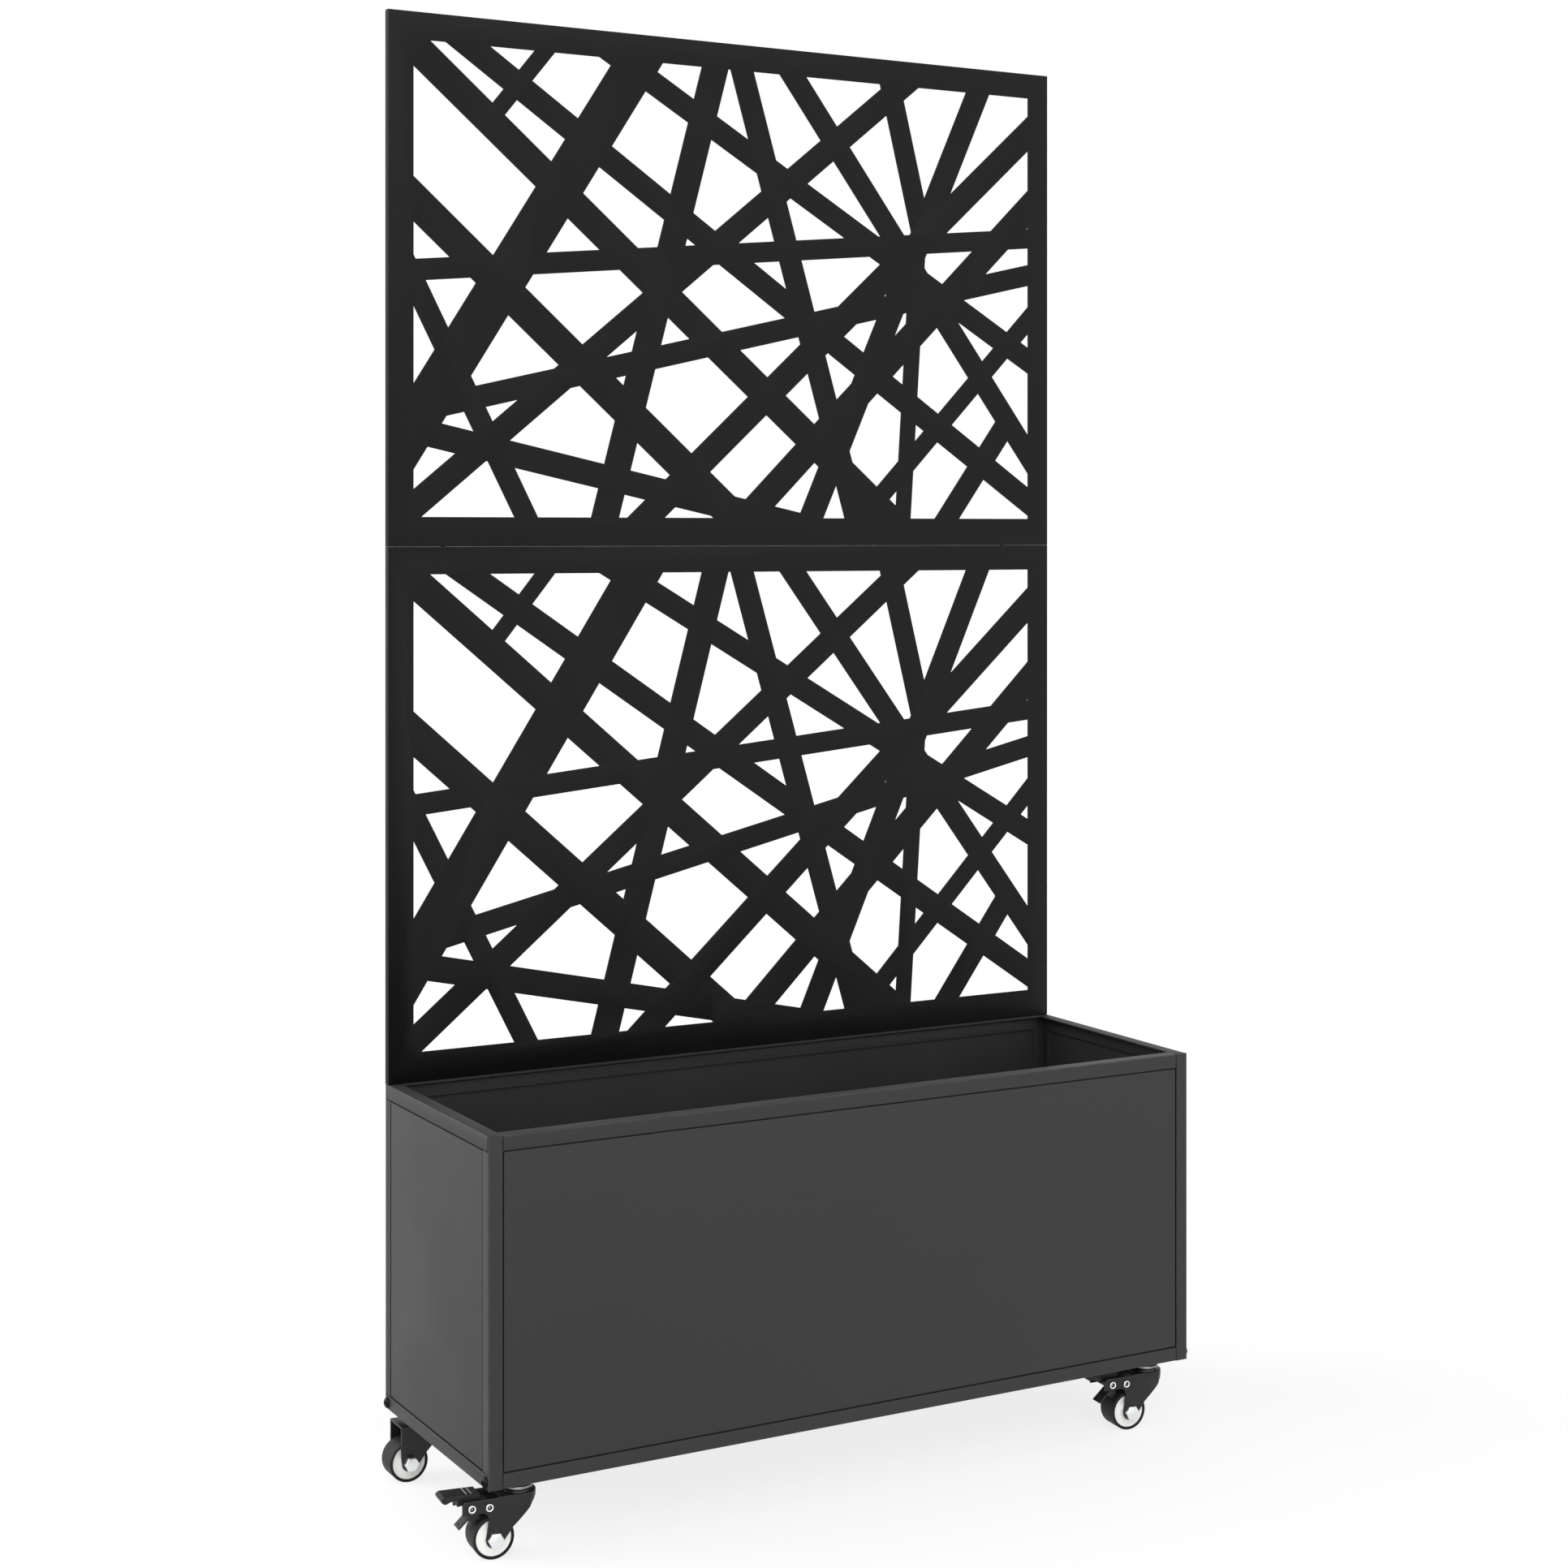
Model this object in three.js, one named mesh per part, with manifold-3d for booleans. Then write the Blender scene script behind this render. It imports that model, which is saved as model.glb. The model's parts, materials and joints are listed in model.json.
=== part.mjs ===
// Planter box on four casters, with a trellis of two identical cut-out steel panels along its back.
// Millimetres, +Z up. X runs along the box, +Y points to the trellis, and the ground is at Z = 0.
import * as THREE from "three";
import { mergeVertices } from "three/addons/utils/BufferGeometryUtils.js";
import Module from "manifold-3d";

const wasm = await Module();
wasm.setup();

// --- Box -----------------------------------------------------------------------------------
const boxLength = 800;
const boxDepth = 267;
const boxHeight = 325;
const angleLeg = 14; // both legs of the folded angles that make the posts and rails
const sheet = 1.5; // steel of posts, rails, floor and trellis
const wallSheet = 1.2; // steel of the four pressed wall panels
const seat = 0.1; // clearance where one sheet lies on another
const seam = 0.8; // butt gap between a rail and a corner post
const cornerSlot = 1.4; // open slot between a side rail's end and the post's front leg
const groove = 1.6; // shadow gap round the raised field of a wall panel
const fieldSetback = 0.2; // raised field behind the outer face of the posts
const wallLap = 2.5; // how far a wall panel reaches behind a post
const wallTopGap = 3; // under the top rails, where the trellis screws end
const tabLap = 8; // how far a post's set-back tab reaches past the end of its side leg
const drainHoles = { along: 5, across: 2, radius: 5 };

// --- Screws --------------------------------------------------------------------------------
const cornerScrew = { shank: 3, head: 5.4, headHeight: 3.2, socketAcross: 4, socketDepth: 1.7 };
const panelScrew = { shank: 2, head: 3.1, headHeight: 2.4, socketAcross: 2.5, socketDepth: 1.3 };
const screwClearance = 0.2; // radial, in every hole that a screw passes
const weldNut = { across: 7, thickness: 4 };

// --- Trellis -------------------------------------------------------------------------------
const panelHeight = 539;
const panelFlange = 8.5; // depth of the folded edge round each panel
const stile = 27; // plain border at the sides of the cut-out field
const railTop = 28;
const railBottom = 30;
const seamScrewInset = 60; // from the end of the panel to the screw that joins two panels

// The bars that stay between the cut-outs. Each runs between two points of the field, which are
// shares of its width from the left and of its height from the top. Bars with an end on the
// edge of the field run on into the border.
const latticeBars = [
  { from: [0, 0.012], to: [0.752, 1], width: 32 },
  { from: [0.338, 0], to: [0, 0.811], width: 47 },
  { from: [0, 0.483], to: [1, 0.334], width: 22 },
  { from: [0, 0.334], to: [0.491, 1], width: 34.5 },
  { from: [0.079, 0], to: [1, 0.959], width: 27 },
  { from: [0.31, 0], to: [1, 0.624], width: 25.5 },
  { from: [0.459, 0], to: [0.285, 1], width: 31 },
  { from: [0, 0.818], to: [0.551, 1], width: 26.5 },
  { from: [0, 0.779], to: [1, 0.421], width: 23.5 },
  { from: [0, 0.504], to: [0.165, 1], width: 23.5 },
  { from: [0, 0.978], to: [0.774, 0], width: 27 },
  { from: [0.349, 1], to: [1, 0.084], width: 29.5 },
  { from: [0.587, 0], to: [1, 0.847], width: 26.5 },
  { from: [0.503, 0], to: [0.693, 1], width: 27 },
  { from: [0.51, 1], to: [1, 0.263], width: 30.5 },
  { from: [0.908, 0], to: [0.617, 1], width: 28.5 },
  { from: [1, 0.528], to: [0.704, 1], width: 21.5 },
  { from: [0.753, 0], to: [0.811, 0.358], width: 26 },
  { from: [0.802, 0.358], to: [0.775, 1], width: 20 },
  { from: [0.961, 0.773], to: [0.853, 1], width: 26 },
  { from: [0.193, 0], to: [0.11, 0.158], width: 18 },
];

// --- Casters -------------------------------------------------------------------------------
const casterHeight = 69;
const wheelRadius = 20;
const wheelWidth = 26;
const tyreThickness = 2.8;
const tyreEdge = 1.8; // rounding of the tread's edges
const tyreFit = 0.15; // between hub and tyre
const hubFace = 11.5; // half distance between the hub's two flat faces
const hubBoss = 9.5; // radius of the boss round the axle
const forkPlate = 2; // steel of the fork
const forkGap = 1; // between the tyre and each side of the fork
const bossGap = 0.3; // between the hub's boss and the fork
const bearingFit = 0.15; // radial, where something turns on a pin
const rest = 0.3; // clearance where one piece of a caster rests on another
const frontCrownDrop = 10.5; // from the underside of the box to the top of a swivel fork
const rearCrownDrop = 12; // and to the top of a rigid fork
const axleRadius = 4;
const axleHead = { across: 13, height: 5 };
const axleNut = { across: 13, height: 4 };
const lug = 8.5; // radius of the fork round the axle

const frontAxisInset = 38.5; // swivel axis from the end of the box
const frontAxisFromFace = 25; // swivel axis from the front face
const trail = 26; // wheel centre behind the swivel axis
const frontTurn = THREE.MathUtils.degToRad(-5); // both front casters as they stand at rest
const topPlate = { length: 31, thickness: 2, chamfer: 3 };
const race = { outer: 15, inner: 9, gap: 0.3, edge: 1.2 };
const kingpin = { radius: 4, head: 6.5, headHeight: 2 };
const noseRadius = 17.8; // rounded front of the swivel fork, seen from above
const crownBack = 5; // rear edge of the crown, forward of the wheel centre

// Places on a swivel fork, from the wheel centre: forward (towards the swivel axis) and up.
const pedalPivot = { x: -22, z: 31 };
const leafPivot = { x: -5.2, z: 30.1 };
const armEnd = -31;
const armBottom = 25.5;
const armTop = 37.8;
const rivet = { shank: 2.2, head: 3.8, headHeight: 1.2 };

const pedal = { width: 20, tip: -49.5, heel: -13, top: 42.3, thickness: 4.2, rise: 1, boss: 5 };
const pedalRib = { height: 0.8, width: 1.2, places: [-25.5, -21] };
const leaf = { width: 14, thickness: 1.6, boss: 4.5, end: { x: -30, z: 8 }, hole: 1.2 };
const shoe = { gap: 1.5, halfAngle: THREE.MathUtils.degToRad(10) }; // gap to the tread at rest

const rearAxleInset = 15; // wheel centre from the end of the box
const rearFromFace = 15; // wheel's mid-plane from the rear face
const rearFork = { back: -9.5, front: 42 };
const rearPlate = { back: -11, front: 44, width: 30, thickness: 2 };
const rearNeck = 13; // radius of the spacer between plate and fork

const pinSides = 16; // sides of a round pin and of the hole it goes through
const wheelSides = 24;
const screwSides = 12;

// --- Finishes ------------------------------------------------------------------------------
const finish = (color, roughness, metalness) =>
  new THREE.MeshStandardMaterial({ color, roughness, metalness });
const boxCoat = finish(0x47484a, 0.6, 0.1);
const trellisCoat = finish(0x2b2c2d, 0.6, 0.1);
const blackScrew = finish(0x1d1d1e, 0.4, 0.6);
const zinc = finish(0xd6d7d8, 0.35, 0.9);
const blackSteel = finish(0x2c2d2e, 0.45, 0.4);
const polishedSteel = finish(0xa0a1a3, 0.15, 1);
const tread = finish(0x303133, 0.7, 0);
const whiteHub = finish(0xf1f1ef, 0.4, 0);
const blackNylon = finish(0x161718, 0.5, 0);

// --- Solids --------------------------------------------------------------------------------
// A closed geometry as a solid that can be joined and cut.
function solid(geometry) {
  const bare = geometry.clone();
  bare.deleteAttribute("normal");
  bare.deleteAttribute("uv");
  const merged = mergeVertices(bare);
  return new wasm.Manifold(
    new wasm.Mesh({
      numProp: 3,
      vertProperties: merged.attributes.position.array,
      triVerts: Uint32Array.from(merged.index.array),
    }),
  );
}

function geometryOf(shape) {
  const mesh = shape.getMesh();
  const indexed = new THREE.BufferGeometry();
  indexed.setAttribute("position", new THREE.BufferAttribute(mesh.vertProperties, 3));
  indexed.setIndex(new THREE.BufferAttribute(mesh.triVerts, 1));
  const flat = indexed.toNonIndexed();
  flat.computeVertexNormals();
  return flat;
}

const joined = (shapes) => shapes.reduce((whole, shape) => whole.add(shape));
const cutFrom = (shape, tools) => tools.reduce((rest, tool) => rest.subtract(tool), shape);

function block([x0, y0, z0], [x1, y1, z1]) {
  const geometry = new THREE.BoxGeometry(x1 - x0, y1 - y0, z1 - z0);
  geometry.translate((x0 + x1) / 2, (y0 + y1) / 2, (z0 + z1) / 2);
  return solid(geometry);
}

// A round or six-sided bar along one axis, from one place on it to another.
function rod(axis, radius, from, to, [u, v], sides = pinSides) {
  const geometry = new THREE.CylinderGeometry(radius, radius, to - from, sides);
  const middle = (from + to) / 2;
  if (axis === "x") geometry.rotateZ(-Math.PI / 2).translate(middle, u, v);
  if (axis === "y") geometry.translate(u, middle, v);
  if (axis === "z") geometry.rotateX(Math.PI / 2).translate(u, v, middle);
  return solid(geometry);
}

// A profile of [radius, height] points turned round the Z axis. It starts and ends on the axis,
// or closes on itself, and runs anticlockwise with the axis on its left.
function turned(profile, sides = wheelSides) {
  const points = profile.map(([radius, height]) => new THREE.Vector2(radius, height));
  const geometry = new THREE.LatheGeometry(points, sides);
  geometry.rotateX(Math.PI / 2);
  return solid(geometry);
}

// A flat outline drawn in X and Z, as thick as the space from y0 to y1.
function plate(outline, y0, y1) {
  const settings = { depth: y1 - y0, bevelEnabled: false, curveSegments: 4 };
  const geometry = new THREE.ExtrudeGeometry(outline, settings);
  geometry.rotateX(Math.PI / 2).translate(0, y1, 0);
  return solid(geometry);
}

const polygon = (points) => new THREE.Shape(points.map(([x, z]) => new THREE.Vector2(x, z)));

// A domed screw whose head stands on Z = 0 and whose shank runs down.
function domedScrew(kind, length) {
  const dome = [[1, 0], [0.85, 0.6], [0.45, 1]].map(([out, up]) =>
    [kind.head * out, kind.headHeight * up]);
  const body = turned(
    [[0, -length], [kind.shank, -length], [kind.shank, 0], ...dome, [0, kind.headHeight]],
    screwSides,
  );
  const socketRadius = kind.socketAcross / Math.sqrt(3);
  const socketFloor = kind.headHeight - kind.socketDepth;
  return body.subtract(rod("z", socketRadius, socketFloor, kind.headHeight + 1, [0, 0], 6));
}

const planter = new THREE.Group();

function addPart(parent, name, shape, material) {
  const mesh = new THREE.Mesh(geometryOf(shape), material);
  mesh.name = name;
  parent.add(mesh);
  return mesh;
}

// --- Box: posts, rails, walls and floor ----------------------------------------------------
const box = new THREE.Group();
box.position.z = casterHeight;
planter.add(box);

// A block placed from one corner of the box: distances run inwards from the two outer faces.
function cornerBlock(side, end, inX, inY, [z0, z1]) {
  const xs = inX.map((d) => side * (boxLength / 2 - d)).sort((a, b) => a - b);
  const ys = inY.map((d) => end * (boxDepth / 2 - d)).sort((a, b) => a - b);
  return block([xs[0], ys[0], z0], [xs[1], ys[1], z1]);
}

const tabDepth = 2 * sheet + seat; // inner face of the tabs behind the side rails
const wallSetback = tabDepth + seat; // outer face of a wall panel's flat border
const screwInset = 2 * sheet + seat + weldNut.across / 2 + 0.4; // its nut clears the floor
const sides = [["left", -1], ["right", 1]];
const ends = [["front", -1], ["rear", 1]];

// A corner post: an angle whose side leg stops short of the side rails, with a tab that reaches
// on behind each of them. The lower tab holds the nut of the corner screw.
function cornerPost(side, end) {
  const legEnds = [angleLeg + seam, boxHeight - angleLeg - seam];
  const behind = [sheet / 2, tabDepth];
  const across = [sheet / 2, angleLeg - 1];
  const nut = [screwInset - weldNut.across / 2, screwInset + weldNut.across / 2];
  const angle = cornerBlock(side, end, [0, angleLeg], [0, angleLeg], [0, boxHeight])
    .subtract(cornerBlock(side, end, [sheet, 20], [sheet, 20], [-1, boxHeight + 1]));
  const tabs = [
    cornerBlock(side, end, behind, across, [sheet + seat, legEnds[0] + tabLap]),
    cornerBlock(side, end, behind, across, [legEnds[1] - tabLap, boxHeight - sheet - seat]),
    cornerBlock(side, end, [sheet + seat + 0.2, tabDepth + weldNut.thickness], nut, nut),
  ];
  const outside = [-1, sheet + seat];
  const y = end * (boxDepth / 2 - screwInset);
  const [x0, x1] = [0, tabDepth + weldNut.thickness + 1]
    .map((inset) => side * (boxLength / 2 - inset)).sort((a, b) => a - b);
  return cutFrom(joined([angle, ...tabs]), [
    cornerBlock(side, end, outside, [sheet, 20], [-1, legEnds[0]]),
    cornerBlock(side, end, outside, [sheet, 20], [legEnds[1], boxHeight + 1]),
    rod("x", cornerScrew.shank + screwClearance, x0, x1, [y, screwInset], screwSides),
  ]);
}

// A rail with its outer corner at Y = 0, Z = 0: one leg lies in the box's face, the other level.
function rail(length, level) {
  const up = level === "top" ? -1 : 1;
  const legs = [[0, 0], [angleLeg, 0], [angleLeg, sheet], [sheet, sheet], [sheet, angleLeg],
    [0, angleLeg]];
  const outline = polygon(legs.map(([y, z]) => [y, up * z]));
  return plate(outline, -length / 2, length / 2).rotate([0, 0, 90]);
}

// Puts a rail drawn as above into its place. It faces -Y until it is turned.
function placeRail(shape, turn, faceDistance, level) {
  return shape.translate([0, -faceDistance, level === "top" ? boxHeight : 0])
    .rotate([0, 0, turn]);
}

// Front and rear rails run between the posts.
const longRail = (turn, level) =>
  placeRail(rail(boxLength - 2 * (angleLeg + seam), level), turn, boxDepth / 2, level);

// Side rails run on over the posts' side legs, almost to the corners. The lower ones have a
// hole for a screw at each end.
function sideRail(turn, level) {
  const length = boxDepth - 2 * (sheet + cornerSlot);
  const shape = placeRail(rail(length, level), turn, boxLength / 2, level);
  if (level === "top") return shape;
  const radius = cornerScrew.shank + screwClearance;
  const y = boxDepth / 2 - screwInset;
  const middle = Math.sign(turn) * (boxLength / 2);
  return cutFrom(shape, [-y, y].map((place) =>
    rod("x", radius, middle - 5, middle + 5, [place, screwInset], screwSides)));
}

// A wall panel seen from outside: a flat border behind the frame, and a field pressed outwards
// until it is almost flush with the posts. It faces -Y, with the box's face at Y = 0.
function wallPanel(length) {
  const half = length / 2 - angleLeg;
  const low = angleLeg + groove;
  const high = boxHeight - angleLeg - groove;
  const back = wallSetback + wallSheet;
  const border = block(
    [-half - wallLap, wallSetback, sheet + seat],
    [half + wallLap, back, boxHeight - sheet - wallTopGap],
  );
  const field = block([-half + groove, fieldSetback, low], [half - groove, back, high]);
  const hollow = block(
    [-half + groove + wallSheet, fieldSetback + wallSheet, low + wallSheet],
    [half - groove - wallSheet, back + 1, high - wallSheet],
  );
  return border.add(field).subtract(hollow);
}

// The floor panel lies on the bottom rails. Its corners are notched round the corner screws.
function floorPanel() {
  const inset = wallSetback + wallSheet + seat;
  const halfX = boxLength / 2 - inset;
  const halfY = boxDepth / 2 - inset;
  const base = block([-halfX, -halfY, sheet + seat], [halfX, halfY, 2 * sheet + seat]);
  const pastScrew = tabDepth + weldNut.thickness + 1.5;
  const pastNut = screwInset + weldNut.across / 2 + 0.5;
  const holes = sides.flatMap(([, side]) =>
    ends.map(([, end]) => cornerBlock(side, end, [-1, pastScrew], [-1, pastNut], [0, 3 * sheet])));
  for (let i = 0; i < drainHoles.along; i++) {
    for (let j = 0; j < drainHoles.across; j++) {
      const x = ((i + 0.5) / drainHoles.along - 0.5) * boxLength;
      const y = ((j + 0.5) / drainHoles.across - 0.5) * boxDepth;
      holes.push(rod("z", drainHoles.radius, 0, 3 * sheet, [x, y], 8));
    }
  }
  return cutFrom(base, holes);
}

for (const [endName, end] of ends) {
  const turn = end > 0 ? 180 : 0;
  for (const [sideName, side] of sides) {
    const corner = `${endName}_${sideName}`;
    addPart(box, `${corner}_post`, cornerPost(side, end), boxCoat);
    const screw = addPart(
      box,
      `${corner}_corner_screw`,
      domedScrew(cornerScrew, tabDepth + weldNut.thickness + 1),
      blackScrew,
    );
    const outside = boxLength / 2 + seat;
    screw.position.set(side * outside, end * (boxDepth / 2 - screwInset), screwInset);
    screw.rotation.y = side * (Math.PI / 2);
  }
  for (const level of ["top", "bottom"]) {
    const holes = endName === "rear" && level === "top" ? footScrewHoles() : [];
    addPart(box, `${endName}_${level}_rail`, cutFrom(longRail(turn, level), holes), boxCoat);
  }
  const wall = addPart(box, `${endName}_wall_panel`, wallPanel(boxLength), boxCoat);
  wall.position.y = end * (boxDepth / 2);
  wall.rotation.z = THREE.MathUtils.degToRad(turn);
}
for (const [sideName, side] of sides) {
  const turn = side * 90;
  for (const level of ["top", "bottom"]) {
    addPart(box, `${sideName}_${level}_rail`, sideRail(turn, level), boxCoat);
  }
  const wall = addPart(box, `${sideName}_wall_panel`, wallPanel(boxDepth), boxCoat);
  wall.position.x = side * (boxLength / 2);
  wall.rotation.z = THREE.MathUtils.degToRad(turn);
}
addPart(box, "floor_panel", floorPanel(), boxCoat);

// --- Trellis -------------------------------------------------------------------------------
// Screw places shared by both panels and the rear rail: x, and y from the panel's front face.
function panelScrewPlaces() {
  const x = boxLength / 2 - seamScrewInset;
  const y = (sheet + panelFlange) / 2;
  return [[-x, y], [x, y]];
}

function footScrewHoles() {
  const front = boxDepth / 2 - panelFlange;
  const radius = panelScrew.shank + screwClearance;
  return panelScrewPlaces().map(([x, y]) =>
    rod("z", radius, boxHeight - 2 * sheet, boxHeight + sheet, [x, front + y], screwSides));
}

// One cut-out panel: front face at Y = 0, standing on Z = 0, its four edges folded back.
function trellisPanel() {
  const half = boxLength / 2;
  const top = panelHeight - seat;
  const left = -half + stile;
  const width = boxLength - 2 * stile;
  const fieldTop = panelHeight - railTop;
  const height = fieldTop - railBottom;
  const onEdge = ([x, z]) => x === 0 || x === 1 || z === 0 || z === 1;
  const bars = latticeBars.map((bar) => {
    const [a, b] = [bar.from, bar.to].map(([x, z]) =>
      new THREE.Vector2(left + x * width, fieldTop - z * height));
    const along = b.clone().sub(a).normalize();
    if (onEdge(bar.from)) a.addScaledVector(along, -8 * bar.width);
    if (onEdge(bar.to)) b.addScaledVector(along, 8 * bar.width);
    const strip = new THREE.BoxGeometry(a.distanceTo(b), 4 * sheet, bar.width);
    strip.rotateY(-Math.atan2(along.y, along.x));
    strip.translate((a.x + b.x) / 2, sheet / 2, (a.y + b.y) / 2);
    return solid(strip);
  });
  const field = block([left, -sheet, railBottom], [-left, 2 * sheet, fieldTop]);
  const tray = block([-half, 0, 0], [half, panelFlange, top]);
  const hollow = block([-half + sheet, sheet, sheet], [half - sheet, 20, top - sheet]);
  const radius = panelScrew.shank + screwClearance;
  const holes = panelScrewPlaces().map(([x, y]) =>
    rod("z", radius, -1, top + 1, [x, y], screwSides));
  return cutFrom(tray, [hollow, field.subtract(joined(bars)), ...holes]);
}

const trellis = new THREE.Group();
trellis.position.set(0, boxDepth / 2 - panelFlange, casterHeight + boxHeight + seat);
planter.add(trellis);
for (const [name, level] of [["lower", 0], ["upper", 1]]) {
  const panel = addPart(trellis, `${name}_trellis_panel`, trellisPanel(), trellisCoat);
  panel.position.z = level * panelHeight;
  panelScrewPlaces().forEach(([x, y], i) => {
    const screwName = `${name}_trellis_${sides[i][0]}_screw`;
    const screw = addPart(trellis, screwName, domedScrew(panelScrew, 3 * sheet), blackScrew);
    screw.position.set(x, y, level * panelHeight + sheet + seat);
  });
}

// --- Casters -------------------------------------------------------------------------------
// Each caster hangs from the underside of the box, at Z = 0 in its own group. Its wheel turns
// about Y, and the swivel axis or the plate's middle lies forward of the wheel, along +X.
const axleZ = wheelRadius - casterHeight;
const forkInner = wheelWidth / 2 + forkGap;
const forkOuter = forkInner + forkPlate;

function hubShape() {
  const outer = wheelRadius - tyreThickness - tyreFit;
  const boss = forkInner - bossGap;
  const bore = axleRadius + bearingFit;
  return turned([
    [bore, -boss], [hubBoss, -boss], [hubBoss, -hubFace], [outer, -hubFace],
    [outer, hubFace], [hubBoss, hubFace], [hubBoss, boss], [bore, boss], [bore, -boss],
  ]);
}

function tyreShape() {
  const inner = wheelRadius - tyreThickness;
  const shoulder = wheelRadius - tyreEdge;
  const half = wheelWidth / 2;
  return turned([
    [inner, -half], [shoulder, -half], [wheelRadius, -half + tyreEdge],
    [wheelRadius, half - tyreEdge], [shoulder, half], [inner, half], [inner, -half],
  ]);
}

const axleEnd = forkOuter + rest + axleNut.height + 0.5;

// A six-sided bar round the axle, with two of its corners level with it.
const hexBar = (across, from, to) =>
  rod("y", across / Math.sqrt(3), from, to, [0, 0], 6).rotate([0, 30, 0]);

function axleBoltShape() {
  const headInner = -forkOuter - rest;
  return hexBar(axleHead.across, headInner - axleHead.height, headInner)
    .add(rod("y", axleRadius, headInner - 1, axleEnd, [0, 0]));
}

function axleNutShape() {
  const inner = forkOuter + rest;
  const outer = inner + axleNut.height;
  return hexBar(axleNut.across, inner, outer)
    .subtract(rod("y", axleRadius + bearingFit, inner - 1, outer + 1, [0, 0]));
}

const axleHole = () => rod("y", axleRadius + bearingFit, -forkOuter - 1, forkOuter + 1, [0, 0]);

// The wheel, its axle bolt and its nut, which every caster has. Their mesh origin is the axle.
function addWheel(group, prefix) {
  const wheelParts = [
    ["hub", hubShape().rotate([90, 0, 0]), whiteHub],
    ["tyre", tyreShape().rotate([90, 0, 0]), tread],
    ["axle_bolt", axleBoltShape(), zinc],
    ["axle_nut", axleNutShape(), zinc],
  ];
  for (const [name, shape, material] of wheelParts) {
    addPart(group, `${prefix}_${name}`, shape, material).position.z = axleZ;
  }
}

// The outline of a fork's side from the lug round the axle to the curved front, without its back.
// It starts at the lug's rear and ends at the top of the front edge.
function forkFront(outline, front, top) {
  outline.absarc(0, 0, lug, Math.PI, Math.PI * 1.75, false);
  outline.lineTo(18, 9.3);
  outline.quadraticCurveTo(front - 12, 21, front - 6, top - 9);
  outline.lineTo(front, top - 4);
  outline.lineTo(front, top);
}

// Cuts the space between the two sides of a fork, from below up to the given height.
const forkSpace = (from, to, top) => block([from, -forkInner, -30], [to, forkInner, top]);

function swivelForkShape() {
  const crownTop = -frontCrownDrop - axleZ;
  const front = trail + noseRadius;
  const outline = new THREE.Shape();
  outline.moveTo(crownBack, crownTop);
  outline.lineTo(crownBack - 4, armTop);
  outline.lineTo(armEnd + 2, armTop);
  outline.lineTo(armEnd, armTop - 3);
  outline.lineTo(armEnd, armBottom);
  outline.lineTo(-lug - 3, armBottom);
  outline.quadraticCurveTo(-6, armBottom - 1, -5.5, armBottom - 7);
  outline.lineTo(-lug, 0);
  forkFront(outline, front, crownTop);
  outline.closePath();
  const cheek = plate(outline, -forkOuter, forkOuter);
  const nose = rod("z", noseRadius, -30, crownTop + 1, [trail, 0], wheelSides);
  const tail = block([armEnd - 1, -forkOuter, -30], [trail, forkOuter, crownTop + 1]);
  const noseInside = rod(
    "z", noseRadius - forkPlate, -30, crownTop - forkPlate, [trail, 0], wheelSides,
  );
  const between = forkSpace(armEnd - 1, trail + noseRadius, crownTop - forkPlate);
  const arms = forkSpace(armEnd - 1, crownBack, crownTop + 1);
  const behind = block([armEnd - 1, -forkInner, -30], [trail, forkInner, crownTop - forkPlate]);
  const kingpinHole = rod("z", kingpin.radius + bearingFit, 0, crownTop + 1, [trail, 0]);
  const pinHole = ({ x, z }) =>
    rod("y", rivet.shank + bearingFit, -forkOuter - 1, forkOuter + 1, [x, z], screwSides);
  return cutFrom(cheek.intersect(nose.add(tail)), [
    between.intersect(noseInside.add(behind)), arms, kingpinHole, axleHole(),
    pinHole(pedalPivot), pinHole(leafPivot),
  ]);
}

// Top plate, with the kingpin that is riveted over under the fork's crown.
function topPlateShape() {
  const half = topPlate.length / 2;
  const cut = half - topPlate.chamfer;
  const corners = [[half, cut], [cut, half]];
  const outline = new THREE.Shape(
    [0, 1, 2, 3].flatMap((quarter) =>
      corners.map(([x, y]) =>
        new THREE.Vector2(x, y).rotateAround(new THREE.Vector2(), quarter * (Math.PI / 2)))),
  );
  const settings = { depth: topPlate.thickness, bevelEnabled: false };
  const flat = new THREE.ExtrudeGeometry(outline, settings);
  flat.translate(0, 0, -topPlate.thickness - seat);
  const crownUnder = -frontCrownDrop - forkPlate;
  const headTop = crownUnder - bearingFit;
  return solid(flat).add(turned([
    [0, headTop - kingpin.headHeight], [kingpin.head - 1, headTop - kingpin.headHeight],
    [kingpin.head, headTop], [kingpin.radius, headTop], [kingpin.radius, -1], [0, -1],
  ]));
}

function ballRaceShape() {
  const high = -topPlate.thickness - seat - race.gap;
  const low = -frontCrownDrop + race.gap;
  const shoulder = race.outer - race.edge;
  return turned([
    [race.inner, low], [shoulder, low], [race.outer, low + race.edge],
    [race.outer, high - race.edge], [shoulder, high], [race.inner, high], [race.inner, low],
  ]);
}

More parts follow.
